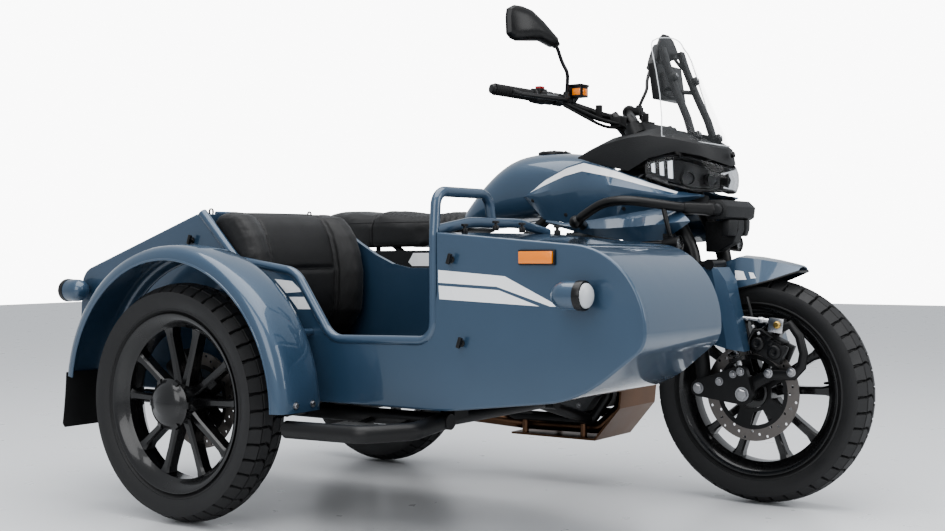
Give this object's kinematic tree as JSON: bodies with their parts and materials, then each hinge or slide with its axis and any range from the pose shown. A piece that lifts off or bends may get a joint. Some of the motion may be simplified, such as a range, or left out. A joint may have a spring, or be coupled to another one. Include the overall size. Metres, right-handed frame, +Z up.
{
  "type": "sidecar motorcycle",
  "caption": "Blue adventure motorcycle with a right-hand sidecar: leading-link fork, open cockpit with grab hoop, padded seat, mudguards and a rear boot.",
  "frame": {"origin": "on the floor under the middle of the outfit's bounding box", "axes": "+X forward, +Y to the rider's left, +Z up; the sidecar is on the -Y side"},
  "size_m": [2.116, 1.6985, 1.4324],
  "materials": {
    "blue_paint": "gloss slate blue paint",
    "black_paint": "satin black powder coat",
    "black_plastic": "textured black plastic",
    "tyre": "tyre rubber",
    "rubber": "soft rubber",
    "steel": "ground steel",
    "alloy": "cast alloy",
    "seat_leather": "grained seat cover",
    "clear_screen": "clear screen",
    "lamp_lens": "lamp lens",
    "red_lens": "red lens"
  },
  "bodies": {
    "chassis": {"fuel_tank": "blue_paint", "tank_panels": "blue_paint", "sidecar_outer_panel": "blue_paint", "sidecar_inner_panel": "blue_paint", "sidecar_nose": "blue_paint", "sidecar_tail": "blue_paint", "sidecar_bulkhead": "blue_paint", "cockpit_rail": "blue_paint", "sidecar_mudguard": "blue_paint", "main_frame": "black_paint", "crash_bars": "black_paint", "sidecar_chassis": "black_paint", "chassis_struts": "black_paint", "sidecar_step": "black_paint", "sidecar_arm": "black_paint", "swingarm": "black_paint", "exhaust": "black_paint", "sidecar_floor": "black_paint", "skid_plate": "black_paint", "front_cowl": "black_plastic", "front_beak": "black_plastic", "screen_bracket": "black_plastic", "side_covers": "black_plastic", "rear_mudguard": "black_plastic", "radiator": "black_plastic", "mudflap": "rubber", "drive_chain": "steel", "rear_shock": "steel", "sidecar_shock": "steel", "engine": "alloy", "rider_seat": "seat_leather", "sidecar_seat": "seat_leather", "sidecar_backrest": "seat_leather", "windscreen": "clear_screen", "headlight": "lamp_lens", "fog_lamps": "lamp_lens", "sidecar_lamps": "lamp_lens", "tail_lamp": "red_lens"},
    "steering": {"fork_clamps": "black_paint", "fork_legs": "black_paint", "leading_links": "black_paint", "front_shocks": "steel", "fork_shields": "blue_paint", "front_mudguard": "blue_paint", "front_calliper": "alloy", "handlebar": "black_paint", "grips": "rubber", "bar_controls": "black_plastic", "mirrors": "black_plastic"},
    "front_wheel": {"front_tyre": "tyre", "front_rim": "black_paint", "front_disc": "steel"},
    "rear_wheel": {"rear_tyre": "tyre", "rear_rim": "black_paint", "rear_disc_sprocket": "steel"},
    "sidecar_wheel": {"sidecar_tyre": "tyre", "sidecar_rim": "black_paint", "sidecar_disc": "steel"},
    "lid": {"boot_lid": "blue_paint"}
  },
  "joints": [
    {"name": "steering_turn", "type": "hinge", "parent": "chassis", "child": "steering", "pos_m": [0.347, 0.369, 1.05], "axis": [-0.454, 0, 0.891], "range_deg": [-32, 32]},
    {"name": "front_wheel_spin", "type": "hinge", "parent": "steering", "child": "front_wheel", "pos_m": [0.736, 0.369, 0.32], "axis": [0, 1, 0], "continuous": true},
    {"name": "rear_wheel_spin", "type": "hinge", "parent": "chassis", "child": "rear_wheel", "pos_m": [-0.658, 0.369, 0.32], "axis": [0, 1, 0], "continuous": true},
    {"name": "sidecar_wheel_spin", "type": "hinge", "parent": "chassis", "child": "sidecar_wheel", "pos_m": [-0.434, -0.744, 0.32], "axis": [0, 1, 0], "continuous": true},
    {"name": "boot_lid_hinge", "type": "hinge", "parent": "chassis", "child": "lid", "pos_m": [-0.5315, -0.3485, 0.832], "axis": [0, 1, 0], "range_deg": [0, 75]}
  ]
}
